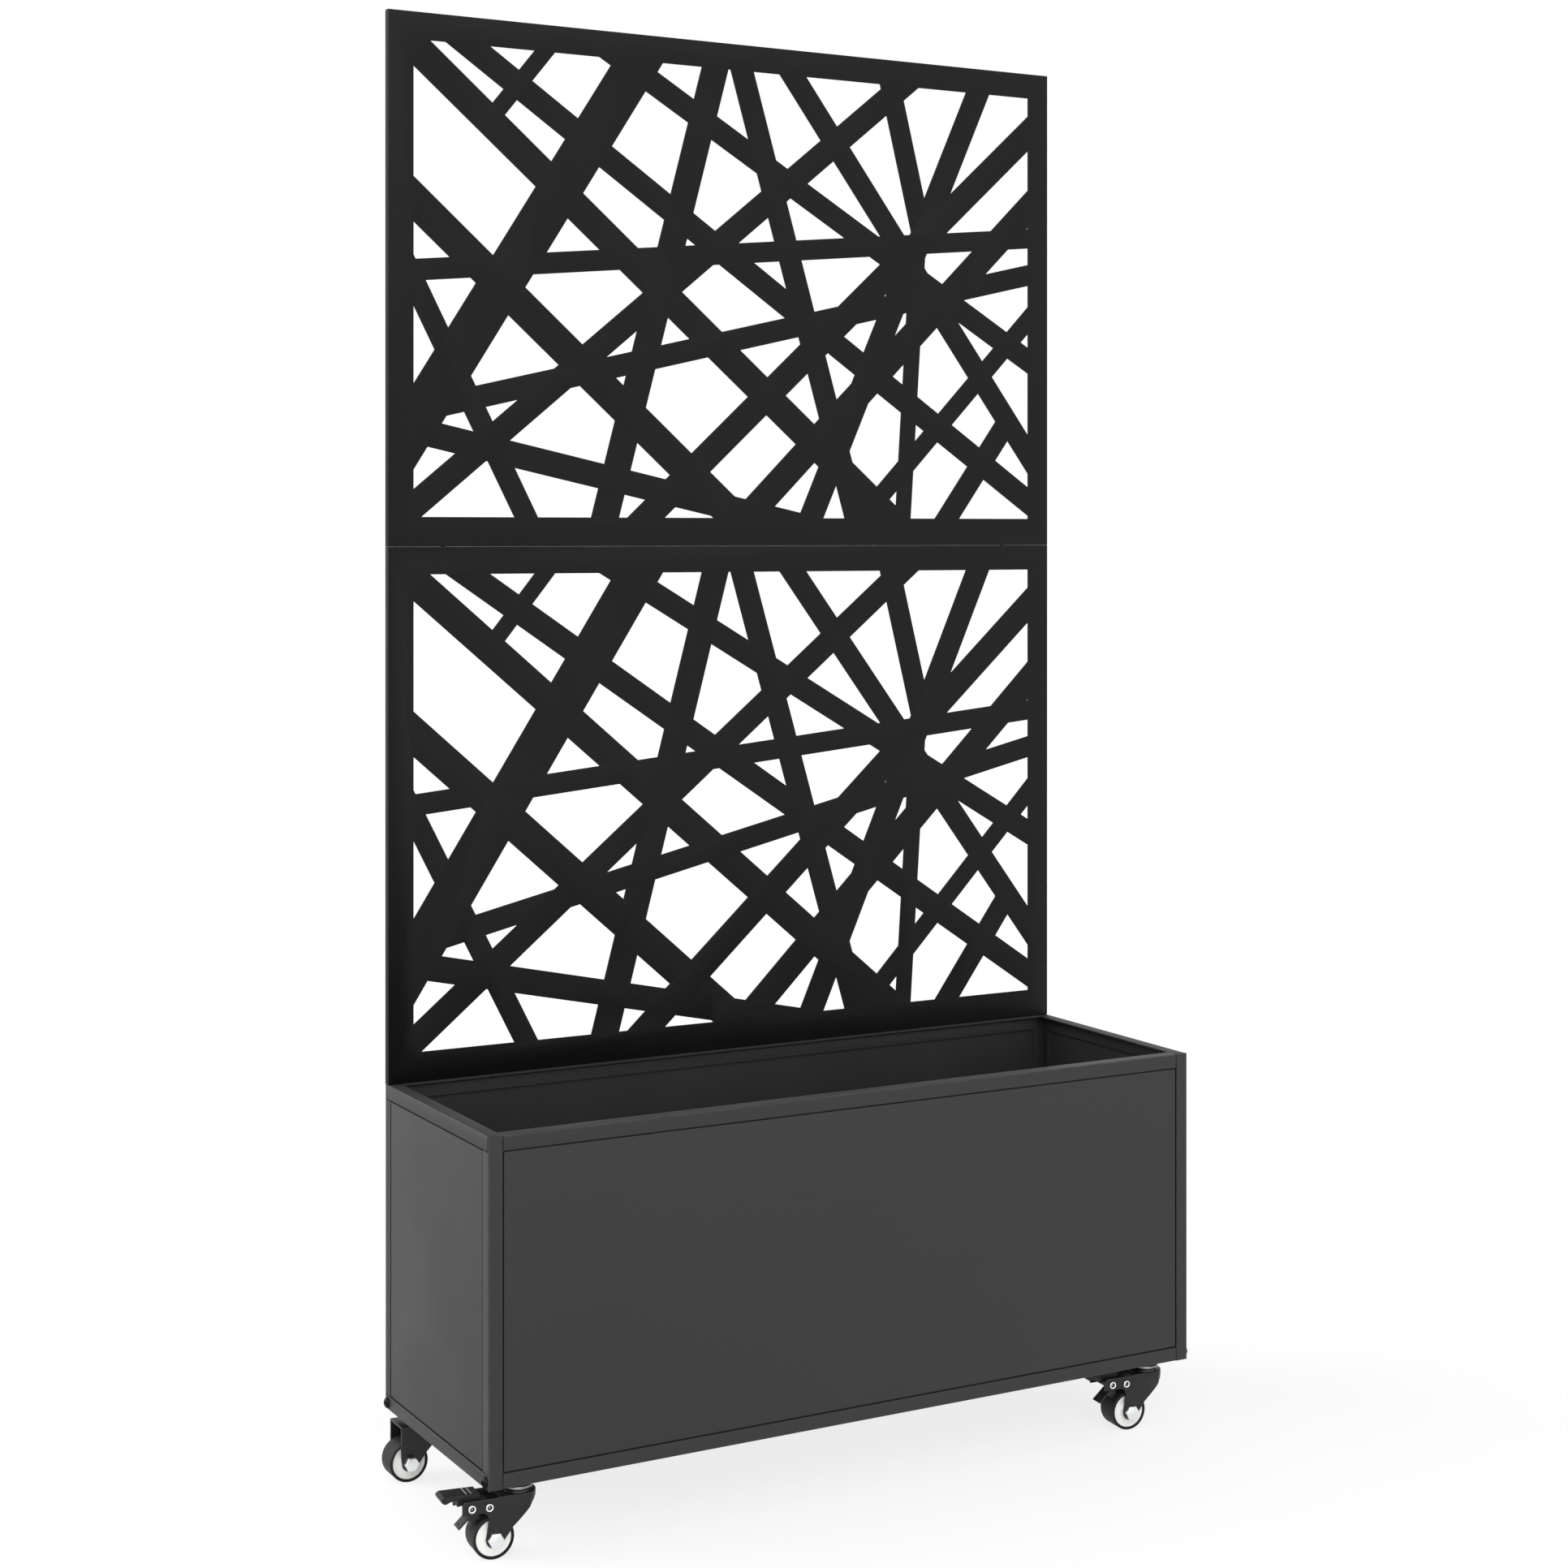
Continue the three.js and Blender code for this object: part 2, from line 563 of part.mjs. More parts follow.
// The pedal is drawn from the wheel centre, as the fork is.
function brakePedalShape() {
  const { tip, heel, top, rise, thickness, boss, width } = pedal;
  const outline = new THREE.Shape();
  outline.moveTo(heel, top);
  outline.lineTo(tip + 3, top + rise);
  outline.lineTo(tip, top - 1);
  outline.quadraticCurveTo(tip, top - 5, tip + 4.5, top - 6);
  outline.lineTo(tip + 9, top - thickness);
  outline.lineTo(pedalPivot.x - boss - 7, top - thickness);
  outline.lineTo(pedalPivot.x - boss - 7, top - thickness - 5.5);
  outline.lineTo(pedalPivot.x - boss, pedalPivot.z + 3);
  outline.absarc(pedalPivot.x, pedalPivot.z, boss, Math.PI, 2 * Math.PI, false);
  outline.lineTo(heel, top - thickness);
  outline.closePath();
  const ribs = pedalRib.places.map((x) =>
    block(
      [x, -width / 2 + 1, top - 1],
      [x + pedalRib.width, width / 2 - 1, top + pedalRib.height],
    ));
  const bore = rod(
    "y", rivet.shank + bearingFit, -width, width, [pedalPivot.x, pedalPivot.z], screwSides,
  );
  return joined([plate(outline, -width / 2, width / 2), ...ribs]).subtract(bore);
}

// The brake leaf: a strip that starts at an eye, has a hole near its free end and carries a shoe
// that fills the space between the strip and the tread, but for a gap.
function brakeLeafShape() {
  const { width, thickness, boss, end, hole } = leaf;
  const half = width / 2;
  const eye = rod("y", boss, -half, half, [leafPivot.x, leafPivot.z], screwSides);
  const start = new THREE.Vector2(leafPivot.x, leafPivot.z);
  const tip = new THREE.Vector2(end.x, end.z);
  const along = tip.clone().sub(start).normalize();
  const across = new THREE.Vector2(along.y, -along.x);
  const outer = boss * 0.9;
  const edge = (point, offset) => point.clone().addScaledVector(across, offset);
  const inner = outer - thickness;
  const strip = plate(
    new THREE.Shape([edge(start, inner), edge(start, outer), edge(tip, outer), edge(tip, inner)]),
    -half, half,
  );
  const middle = Math.atan2(across.y, across.x);
  const [from, to] = [middle - shoe.halfAngle, middle + shoe.halfAngle];
  const pad = new THREE.Shape();
  pad.absarc(0, 0, wheelRadius + shoe.gap, from, to, false);
  pad.absarc(0, 0, start.dot(across) + outer - thickness / 2, to, from, true);
  pad.closePath();
  const holePlace = edge(tip, outer).addScaledVector(along, -4);
  const eyelet = rod("z", hole, holePlace.y - 8, holePlace.y + 8, [holePlace.x, 0], 8);
  const bore = rod(
    "y", rivet.shank + bearingFit, -width, width, [leafPivot.x, leafPivot.z], screwSides,
  );
  return cutFrom(joined([eye, strip, plate(pad, -half, half)]), [eyelet, bore]);
}

function rivetShape({ x, z }) {
  const under = forkOuter + rest;
  const crown = under + rivet.headHeight;
  const body = turned([
    [0, -crown], [rivet.head - 0.8, -crown], [rivet.head, -under], [rivet.shank, -under],
    [rivet.shank, under], [rivet.head, under], [rivet.head - 0.8, crown], [0, crown],
  ], screwSides);
  return body.rotate([90, 0, 0]).translate([x, 0, z]);
}

for (const [sideName, side] of sides) {
  const prefix = `front_${sideName}`;
  const caster = new THREE.Group();
  caster.position.set(
    side * (boxLength / 2 - frontAxisInset), -boxDepth / 2 + frontAxisFromFace, casterHeight,
  );
  planter.add(caster);
  addPart(caster, `${prefix}_top_plate`, topPlateShape(), blackSteel);
  addPart(caster, `${prefix}_ball_race`, ballRaceShape(), polishedSteel);
  const swivel = new THREE.Group();
  swivel.rotation.z = frontTurn;
  caster.add(swivel);
  const trailing = new THREE.Group();
  trailing.position.x = -trail;
  swivel.add(trailing);
  addWheel(trailing, prefix);
  const swivelParts = [
    ["fork", swivelForkShape(), blackSteel],
    ["brake_pedal", brakePedalShape(), blackNylon],
    ["brake_leaf", brakeLeafShape(), blackSteel],
    ["pedal_rivet", rivetShape(pedalPivot), zinc],
    ["leaf_rivet", rivetShape(leafPivot), zinc],
  ];
  for (const [name, shape, material] of swivelParts) {
    addPart(trailing, `${prefix}_${name}`, shape, material).position.z = axleZ;
  }
}

// A rigid caster: plate, round spacer and fork welded into one piece.
function rigidForkShape() {
  const crownTop = -rearCrownDrop - axleZ;
  const outline = new THREE.Shape();
  outline.moveTo(rearFork.back, crownTop);
  outline.lineTo(rearFork.back, 10);
  outline.quadraticCurveTo(rearFork.back, 4, -lug, 0);
  forkFront(outline, rearFork.front, crownTop);
  outline.closePath();
  const underBox = -axleZ - seat;
  const neckX = (rearPlate.back + rearPlate.front) / 2;
  const plateHalf = rearPlate.width / 2;
  const top = block(
    [rearPlate.back, -plateHalf, underBox - rearPlate.thickness],
    [rearPlate.front, plateHalf, underBox],
  );
  const neck = rod("z", rearNeck, crownTop - 1, underBox - 1, [neckX, 0]);
  const fork = plate(outline, -forkOuter, forkOuter);
  const space = forkSpace(rearFork.back - 1, rearFork.front + 1, crownTop - forkPlate);
  return joined([cutFrom(fork, [space]), neck, top]).subtract(axleHole());
}

for (const [sideName, side] of sides) {
  const caster = new THREE.Group();
  caster.position.set(
    side * (boxLength / 2 - rearAxleInset), boxDepth / 2 - rearFromFace, casterHeight,
  );
  caster.rotation.z = side > 0 ? Math.PI : 0;
  planter.add(caster);
  const prefix = `rear_${sideName}`;
  addWheel(caster, prefix);
  addPart(caster, `${prefix}_rigid_fork`, rigidForkShape(), blackSteel).position.z = axleZ;
}

// The origin is on the ground in the middle of everything, so the box moves aside: the left
// brake pedal reaches past one end, at the other end only the screw heads stand out, and the
// rear axles end behind the rear face.
const pedalReach = trail - pedal.tip;
const pedalCorner = Math.cos(frontTurn) * pedalReach - Math.sin(frontTurn) * (pedal.width / 2);
const leftReach = pedalCorner - frontAxisInset;
const rightReach = seat + cornerScrew.headHeight;
planter.position.x = (leftReach - rightReach) / 2;
planter.position.y = -(axleEnd - rearFromFace) / 2;

export default planter;
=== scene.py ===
import json
import math

import bmesh
import bpy
from mathutils import Matrix, Vector


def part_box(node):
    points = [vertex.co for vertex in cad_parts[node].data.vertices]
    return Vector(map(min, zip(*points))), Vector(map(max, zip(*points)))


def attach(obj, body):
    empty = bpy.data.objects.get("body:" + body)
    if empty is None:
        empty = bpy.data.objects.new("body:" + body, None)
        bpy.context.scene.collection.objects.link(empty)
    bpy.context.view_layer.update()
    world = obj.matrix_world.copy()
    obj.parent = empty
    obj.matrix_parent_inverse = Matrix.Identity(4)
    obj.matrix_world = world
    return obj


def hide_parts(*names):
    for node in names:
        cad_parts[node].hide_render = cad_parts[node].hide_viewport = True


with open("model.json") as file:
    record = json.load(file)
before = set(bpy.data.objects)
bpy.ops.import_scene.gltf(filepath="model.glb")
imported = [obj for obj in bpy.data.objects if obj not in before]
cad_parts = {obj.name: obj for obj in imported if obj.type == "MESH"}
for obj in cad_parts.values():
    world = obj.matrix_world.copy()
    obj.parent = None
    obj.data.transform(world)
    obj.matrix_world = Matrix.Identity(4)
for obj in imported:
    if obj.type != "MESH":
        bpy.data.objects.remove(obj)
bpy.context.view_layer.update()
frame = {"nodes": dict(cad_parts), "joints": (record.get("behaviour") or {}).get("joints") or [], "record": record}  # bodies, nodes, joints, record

# --- Viewpoint -----------------------------------------------------------------------------
# The camera stands left of the front, a little above the middle, and looks level, so that every
# upright stays upright. The picture is shifted down to bring the casters in.
level_tilt, turn_to_right = 90, -29.118  # degrees
photo_camera = bpy.data.cameras.new("photo_camera")
photo_camera.sensor_width = 36
photo_camera.lens = 60.32
photo_camera.shift_x = -0.0003
photo_camera.shift_y = -0.1597
camera = bpy.data.objects.new("photo_camera", photo_camera)
camera.location = (-1.3161, -2.3684, 0.9463)
camera.rotation_euler = (math.radians(level_tilt), 0, math.radians(turn_to_right))
bpy.context.scene.collection.objects.link(camera)
bpy.context.scene.camera = camera
bpy.context.scene.view_settings.view_transform = "Standard"

# --- Studio --------------------------------------------------------------------------------
# A plain white floor under a white sky. One broad soft light stands behind the left end and
# skims it, one stands low in front, and the sky and the floor fill the rest.


def add_node(tree, kind, inputs=(), **settings):
    """Adds a node with its settings. Inputs go by name or number, and take a value or a link."""
    node = tree.nodes.new(kind)
    for setting, value in settings.items():
        setattr(node, setting, value)
    for place, value in dict(inputs).items():
        if isinstance(value, bpy.types.NodeSocket):
            tree.links.new(value, node.inputs[place])
        else:
            node.inputs[place].default_value = value
    return node


def linear(hex_colour):
    """An sRGB colour such as "4b4c4d" as linear red, green, blue and alpha."""
    parts = [int(hex_colour[place:place + 2], 16) / 255 for place in (0, 2, 4)]
    lit = [p / 12.92 if p <= 0.04045 else ((p + 0.055) / 1.055) ** 2.4 for p in parts]
    return (*lit, 1.0)


def blank_material(name):
    """A material without nodes, and its node tree."""
    material = bpy.data.materials.new(name)
    material.use_nodes = True
    material.node_tree.nodes.clear()
    return material, material.node_tree


def seen_directly(tree):
    """1 for what the camera sees, or sees in gloss or through glass, and 0 for light."""
    path = add_node(tree, "ShaderNodeLightPath")
    seen = path.outputs["Is Camera Ray"]
    for ray in ("Is Glossy Ray", "Is Transmission Ray"):
        pair = {0: seen, 1: path.outputs[ray]}
        seen = add_node(tree, "ShaderNodeMath", pair, operation="MAXIMUM").outputs[0]
    return seen


white = (1, 1, 1, 1)
sky = bpy.data.worlds.new("white_sky")
bpy.context.scene.world = sky
sky.use_nodes = True
tree = sky.node_tree
tree.nodes.clear()
sky_light = add_node(tree, "ShaderNodeBackground", {"Color": white, "Strength": 0.6})
sky_seen = add_node(tree, "ShaderNodeBackground", {"Color": white, "Strength": 1.0})
sky_mix = add_node(tree, "ShaderNodeMixShader", {
    0: seen_directly(tree), 1: sky_light.outputs[0], 2: sky_seen.outputs[0]})
add_node(tree, "ShaderNodeOutputWorld", {0: sky_mix.outputs[0]})

soft_lights = (
    # name, direction to the light, strength, spread in degrees
    ("left_softbox", (-0.75, 0.35, 0.56), 2.1, 50),
    ("front_softbox", (-0.25, -0.85, 0.46), 1.45, 60),
)
for name, direction, strength, spread in soft_lights:
    light = bpy.data.lights.new(name, "SUN")
    light.energy = strength
    light.angle = math.radians(spread)
    lamp = bpy.data.objects.new(name, light)
    lamp.rotation_euler = Vector(direction).to_track_quat("Z", "Y").to_euler()
    bpy.context.scene.collection.objects.link(lamp)

# Matt white floor paint. What the camera sees of it is lifted to white, and it still takes the
# shadow of the casters and of the box.
floor_paint, tree = blank_material("matt_white_floor_paint")
floor_lit = add_node(tree, "ShaderNodeBsdfDiffuse", {"Color": linear("e6e6e4")})
floor_matt = add_node(tree, "ShaderNodeBsdfDiffuse", {"Color": linear("7c7c7b")})
floor_glow = add_node(tree, "ShaderNodeEmission", {"Color": white, "Strength": 0.8})
floor_lifted = add_node(
    tree, "ShaderNodeAddShader", {0: floor_matt.outputs[0], 1: floor_glow.outputs[0]})
floor_mix = add_node(tree, "ShaderNodeMixShader", {
    0: seen_directly(tree), 1: floor_lit.outputs[0], 2: floor_lifted.outputs[0]})
add_node(tree, "ShaderNodeOutputMaterial", {0: floor_mix.outputs[0]})

floor_half = 30
floor_corners = [
    (x * floor_half, y * floor_half, 0) for x, y in ((-1, -1), (1, -1), (1, 1), (-1, 1))]
floor_mesh = bpy.data.meshes.new("studio_floor")
floor_mesh.from_pydata(floor_corners, [], [(0, 1, 2, 3)])
floor_mesh.materials.append(floor_paint)
studio_floor = bpy.data.objects.new("studio_floor", floor_mesh)
bpy.context.scene.collection.objects.link(studio_floor)

# --- Corner posts --------------------------------------------------------------------------
# Angles folded from 1.5 mm steel, with tabs that reach behind the side rails. The fold has a
# small outside radius, and the cut edges are only dulled by the coat.
mm = 0.001
body_of = {
    node: body
    for body, nodes in frame["record"]["behaviour"]["bodies"].items()
    for node in nodes
}


def carried_out(piece):
    """The piece's mesh with its modifiers carried out. The piece itself is taken away."""
    graph = bpy.context.evaluated_depsgraph_get()
    mesh = bpy.data.meshes.new_from_object(piece.evaluated_get(graph))
    bpy.data.objects.remove(piece)
    return mesh


def stands_for(name, mesh, material, slot, *nodes):
    """Puts a finished mesh on the body of the CAD nodes that it stands for."""
    mesh.materials.clear()
    mesh.materials.append(material)
    piece = bpy.data.objects.new(name, mesh)
    bpy.context.scene.collection.objects.link(piece)
    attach(piece, body_of[nodes[0]])
    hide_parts(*nodes)


def on_corner(edge, corner, low, high):
    """Whether an edge lies on the outer corner line that the signs in corner name."""
    near = 0.01 * mm
    for axis, side in enumerate(corner):
        limit = high[axis] if side > 0 else low[axis]
        if side and any(abs(vertex.co[axis] - limit) > near for vertex in edge.verts):
            return False
    return True


def rounded(node, cut, fold=0.0, corners=(), steps=3):
    """A CAD node's shape as one clean mesh, with radii in mm on its cut edges and its folds.
    Its face attribute "edge" is 1 on those radii, where a coat wears first."""
    weld, flat, sharp = 0.002 * mm, math.radians(0.5), math.radians(25)
    low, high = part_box(node)
    shape = bmesh.new()
    shape.from_mesh(frame["nodes"][node].data)
    bmesh.ops.remove_doubles(shape, verts=shape.verts, dist=weld)
    bmesh.ops.dissolve_limit(shape, angle_limit=flat, verts=shape.verts, edges=shape.edges)
    widest = max(cut, fold)
    weight = shape.edges.layers.float.new("bevel_weight_edge")
    for edge in shape.edges:
        if edge.calc_face_angle(0) > sharp:
            folded = any(on_corner(edge, corner, low, high) for corner in corners)
            edge[weight] = (fold if folded else cut) / widest
    for face in shape.faces:
        face.smooth = True
    mesh = bpy.data.meshes.new(node)
    shape.to_mesh(mesh)
    shape.free()
    # The bevel gives its new faces the second material slot, which tells them apart.
    mesh.materials.append(None)
    mesh.materials.append(None)
    piece = bpy.data.objects.new("in_work", mesh)
    bpy.context.scene.collection.objects.link(piece)
    bevel = piece.modifiers.new("radii", "BEVEL")
    bevel.limit_method = "WEIGHT"
    bevel.width = widest * mm
    bevel.segments = steps
    bevel.use_clamp_overlap = False
    bevel.harden_normals = True
    bevel.material = 1
    mesh = carried_out(piece)
    worn = mesh.attributes.new("edge", "FLOAT", "FACE")
    worn.data.foreach_set("value", [float(face.material_index) for face in mesh.polygons])
    mesh.polygons.foreach_set("material_index", [0] * len(mesh.polygons))
    return mesh


def coated_steel(name, colour, fresh, lightened, specular):
    """Polyester powder coat on steel: a matt, faintly mottled skin with a fine orange peel.
    Fresh and rubbed are the colours of its lighter flecks and of its edges."""
    coat, tree = blank_material(name)
    place = add_node(tree, "ShaderNodeTexCoord").outputs["Object"]
    # The film's thickness varies over a hand's breadth, and the roughness follows it. Powder
    # grains are 0.05 mm, and are drawn coarser so that they show at all. All sizes in mm.
    cloud_size, grain_size, peel_size, rub_size = 111, 0.909, 2.5, 16.7
    cloud = add_node(tree, "ShaderNodeTexNoise", {
        "Vector": place, "Scale": 1 / (cloud_size * mm), "Detail": 3})
    fleck = add_node(tree, "ShaderNodeTexNoise", {
        "Vector": place, "Scale": 1 / (grain_size * mm), "Detail": 2})
    peel = add_node(tree, "ShaderNodeTexNoise", {
        "Vector": place, "Scale": 1 / (peel_size * mm), "Detail": 1})
    film = add_node(tree, "ShaderNodeMapRange", {
        "Value": cloud.outputs["Fac"], "From Min": 0.35, "From Max": 0.65,
        "To Min": 0.0, "To Max": 0.45})
    grain = add_node(tree, "ShaderNodeMapRange", {
        "Value": fleck.outputs["Fac"], "From Min": 0.55, "From Max": 0.75,
        "To Min": 0.0, "To Max": 0.35})
    both = add_node(tree, "ShaderNodeMath", {
        0: film.outputs[0], 1: grain.outputs[0]}, operation="ADD", use_clamp=True)
    skin = add_node(tree, "ShaderNodeMix", {
        0: both.outputs[0], 6: linear(colour), 7: linear(fresh)}, data_type="RGBA")
    # The coat is thinner on an edge, and handling rubs it a little shiny there.
    edge = add_node(tree, "ShaderNodeAttribute", attribute_name="edge")
    patch = add_node(tree, "ShaderNodeTexNoise", {
        "Vector": place, "Scale": 1 / (rub_size * mm), "Detail": 4})
    rub = add_node(tree, "ShaderNodeMapRange", {
        "Value": patch.outputs["Fac"], "From Min": 0.4, "From Max": 0.7,
        "To Min": 0.15, "To Max": 0.8})
    lightening = add_node(tree, "ShaderNodeMath", {
        0: edge.outputs["Fac"], 1: rub.outputs[0]}, operation="MULTIPLY")
    worn_skin = add_node(tree, "ShaderNodeMix", {
        0: lightening.outputs[0], 6: skin.outputs[2], 7: linear(lightened)}, data_type="RGBA")
    sheen = add_node(tree, "ShaderNodeMapRange", {
        "Value": cloud.outputs["Fac"], "From Min": 0.3, "From Max": 0.7,
        "To Min": 0.5, "To Max": 0.6})
    rubbed_roughness = 0.38
    dull = add_node(tree, "ShaderNodeMix", {
        0: lightening.outputs[0], 2: sheen.outputs[0], 3: rubbed_roughness}, data_type="FLOAT")
    relief = add_node(tree, "ShaderNodeMath", {
        0: peel.outputs["Fac"], 1: fleck.outputs["Fac"]}, operation="ADD")
    bump = add_node(tree, "ShaderNodeBump", {
        "Strength": 0.25, "Distance": 0.05 * mm, "Height": relief.outputs[0]})
    shader = add_node(tree, "ShaderNodeBsdfPrincipled", {
        "Base Color": worn_skin.outputs[2],
        "Roughness": dull.outputs[0],
        "Specular IOR Level": specular,
        "Normal": bump.outputs[0]})
    add_node(tree, "ShaderNodeOutputMaterial", {0: shader.outputs[0]})
    return coat


box_coat = coated_steel("grey_powder_coated_steel", "2a2a2a", "2e2e2e", "3b3b3b", 0.35)

for end, depth in (("front", -1), ("rear", 1)):
    for side, way in (("left", -1), ("right", 1)):
        node = f"{end}_{side}_post"
        post = rounded(node, cut=0.2, fold=1.4, corners=[(way, depth, 0)])
        stands_for(f"{node}.folded", post, box_coat, "box_coat", node)

# --- Rails ---------------------------------------------------------------------------------
# The same folded angle, four round the top and four round the bottom of the box. The side
# rails run on over the posts, the front and rear ones stop between them.
rail_ways = {"front": (0, -1), "rear": (0, 1), "left": (-1, 0), "right": (1, 0)}
for face, (across, depth) in rail_ways.items():
    for level, up in (("top", 1), ("bottom", -1)):
        node = f"{face}_{level}_rail"
        rail = rounded(node, cut=0.2, fold=1.4, corners=[(across, depth, up)])
        stands_for(f"{node}.folded", rail, box_coat, "box_coat", node)

# --- Walls and floor -----------------------------------------------------------------------
# Each wall is a tray pressed from 1.2 mm sheet, with its field pushed out until it is almost
# level with the posts. The floor is a flat sheet with punched drain holes.
for face in rail_ways:
    node = f"{face}_wall_panel"
    stands_for(f"{node}.pressed", rounded(node, cut=0.45), box_coat, "box_coat", node)
stands_for(
    "floor_panel.punched", rounded("floor_panel", cut=0.2, steps=2), box_coat, "box_coat",
    "floor_panel")

# --- Trellis -------------------------------------------------------------------------------
# Two like panels cut by laser from 1.5 mm steel, with their four edges folded back. Their coat
# is nearer to black and flatter than the coat of the box.
trellis_coat = coated_steel("black_powder_coated_steel", "131313", "161616", "232323", 0.15)
panel_folds = [(-1, -1, 0), (1, -1, 0), (0, -1, 1), (0, -1, -1)]
for level in ("lower", "upper"):
    node = f"{level}_trellis_panel"
    panel = rounded(node, cut=0.15, fold=0.9, corners=panel_folds, steps=2)
    stands_for(f"{node}.laser_cut", panel, trellis_coat, "trellis_coat", node)

# --- Screws --------------------------------------------------------------------------------
# Button-head socket screws of blackened steel: an M6 through each lower corner of the box, and
# M4 ones in the seams of the trellis. A fitter leaves each socket at its own angle.


def hexagon(across):
    """The radius of a six-sided outline, with a corner at angle 0, as a function of the angle."""
    return lambda angle: across / 2 / math.cos(angle % (math.pi / 3) - math.pi / 6)


def turned(rows, sides):
    """A closed mesh round the Z axis from rows of radius and height in mm. Either may be a
    function of the angle. Rows that don't start and end on the axis close on each other."""
    shape = bmesh.new()
    rings = []
    for radius, height in rows:
        ring = []
        for step in range(sides if radius else 1):
            angle = 2 * math.pi * step / sides
            out = radius(angle) if callable(radius) else radius
            up = height(angle) if callable(height) else height
            ring.append(shape.verts.new(
                (out * math.cos(angle) * mm, out * math.sin(angle) * mm, up * mm)))
        rings.append(ring)
    pairs = list(zip(rings, rings[1:]))
    if len(rings[0]) > 1:
        pairs.append((rings[-1], rings[0]))
    for near, far in pairs:
        for step in range(sides):
            corners = [
                near[step % len(near)], near[(step + 1) % len(near)],
                far[(step + 1) % len(far)], far[step % len(far)]]
            shape.faces.new(dict.fromkeys(corners))
    bmesh.ops.recalc_face_normals(shape, faces=shape.faces)
    for face in shape.faces:
        face.smooth = True
    mesh = bpy.data.meshes.new("turned")
    shape.to_mesh(mesh)
    shape.free()
    crease = math.radians(32)
    mesh.set_sharp_from_angle(angle=crease)
    return mesh


def arc(middle, radius, start, end, steps):
    """Points on a circle in the plane of radius and height. Angles in degrees."""
    angles = [math.radians(start + (end - start) * i / steps) for i in range(steps + 1)]
    return [
        (middle[0] + radius * math.cos(a), middle[1] + radius * math.sin(a)) for a in angles]


def button_screw(shank, head, height, socket, length):
    """A screw whose head stands on Z = 0, with a domed top and a six-sided socket. Shank and
    head are radii, and socket is the width across its flats."""
    rim = 0.12 * height
    mouth = 0.66 * socket
    point, lead = 0.85 * shank, 0.3 * shank
    socket_lip, lip_drop, bevel_drop = 1.06 * socket, 0.05, 0.2
    socket_foot, socket_bottom = 0.45 * height, 0.4 * height
    dome_steps = 8
    top = math.acos(mouth / head)
    dome = []
    for step in range(dome_steps + 1):
        angle = top * step / dome_steps
        rise = math.sin(angle) / math.sin(top)
        dome.append((head * math.cos(angle), rim + (height - rim) * rise))
    return turned([
        (0, -length), (point, -length), (shank, lead - length), (shank, 0),
        (head - rim / 2, 0), (head, rim / 2), *dome,
        (hexagon(socket_lip), height - lip_drop), (hexagon(socket), height - bevel_drop),
        (hexagon(socket), socket_foot), (0, socket_bottom)], 48)


# Geometry Nodes tree that sets a fixing on every point, along the point's axis, and turns each
# about that axis by a random angle.
fixing_tree = bpy.data.node_groups.new("fixings_in_place", "GeometryNodeTree")
fixing_tree.is_modifier = True
for socket_name, socket_kind in (
        ("Places", "NodeSocketGeometry"), ("Fixing", "NodeSocketObject"),
        ("Most Turn", "NodeSocketFloat"), ("Seed", "NodeSocketInt"),
        ("Finish", "NodeSocketMaterial")):
    fixing_tree.interface.new_socket(
        name=socket_name, in_out="INPUT", socket_type=socket_kind)
fixing_tree.interface.new_socket(
    name="Fixings", in_out="OUTPUT", socket_type="NodeSocketGeometry")
given = add_node(fixing_tree, "NodeGroupInput").outputs
fixing = add_node(fixing_tree, "GeometryNodeObjectInfo", {"Object": given["Fixing"]})
axis = add_node(
    fixing_tree, "GeometryNodeInputNamedAttribute", {"Name": "axis"}, data_type="FLOAT_VECTOR")
along = add_node(
    fixing_tree, "FunctionNodeAlignRotationToVector",
    {"Vector": axis.outputs["Attribute"]}, axis="Z")
turn = add_node(
    fixing_tree, "FunctionNodeRandomValue",
    {2: 0.0, 3: given["Most Turn"], "Seed": given["Seed"]}, data_type="FLOAT")
spin = add_node(fixing_tree, "FunctionNodeAxisAngleToRotation", {
    "Axis": (0, 0, 1), "Angle": turn.outputs[1]})
turned_along = add_node(fixing_tree, "FunctionNodeRotateRotation", {
    "Rotation": along.outputs[0], "Rotate By": spin.outputs[0]}, rotation_space="LOCAL")
set_in = add_node(fixing_tree, "GeometryNodeInstanceOnPoints", {
    "Points": given["Places"], "Instance": fixing.outputs["Geometry"],
    "Rotation": turned_along.outputs[0]})
real = add_node(fixing_tree, "GeometryNodeRealizeInstances", {0: set_in.outputs[0]})
finished = add_node(fixing_tree, "GeometryNodeSetMaterial", {
    "Geometry": real.outputs[0], "Material": given["Finish"]})
add_node(fixing_tree, "NodeGroupOutput", {0: finished.outputs[0]})


def fixings(mesh, places, most_turn, seed, material):
    """One mesh with a copy of a fixing at each place. A place is a point and an axis."""
    model = bpy.data.objects.new("fixing_model", mesh)
    points = bpy.data.meshes.new("fixing_places")
    points.from_pydata([point for point, _ in places], [], [])
    axes = points.attributes.new("axis", "FLOAT_VECTOR", "POINT")
    axes.data.foreach_set("vector", [value for _, way in places for value in way])
    piece = bpy.data.objects.new("in_work", points)
    for helper in (model, piece):
        bpy.context.scene.collection.objects.link(helper)
    modifier = piece.modifiers.new("fixings", "NODES")
    modifier.node_group = fixing_tree
    sockets = {
        item.name: item.identifier
        for item in fixing_tree.interface.items_tree if item.in_out == "INPUT"}
    modifier[sockets["Fixing"]] = model
    modifier[sockets["Most Turn"]] = most_turn
    modifier[sockets["Seed"]] = seed
    modifier[sockets["Finish"]] = material
    placed = carried_out(piece)
    bpy.data.objects.remove(model)
    return placed


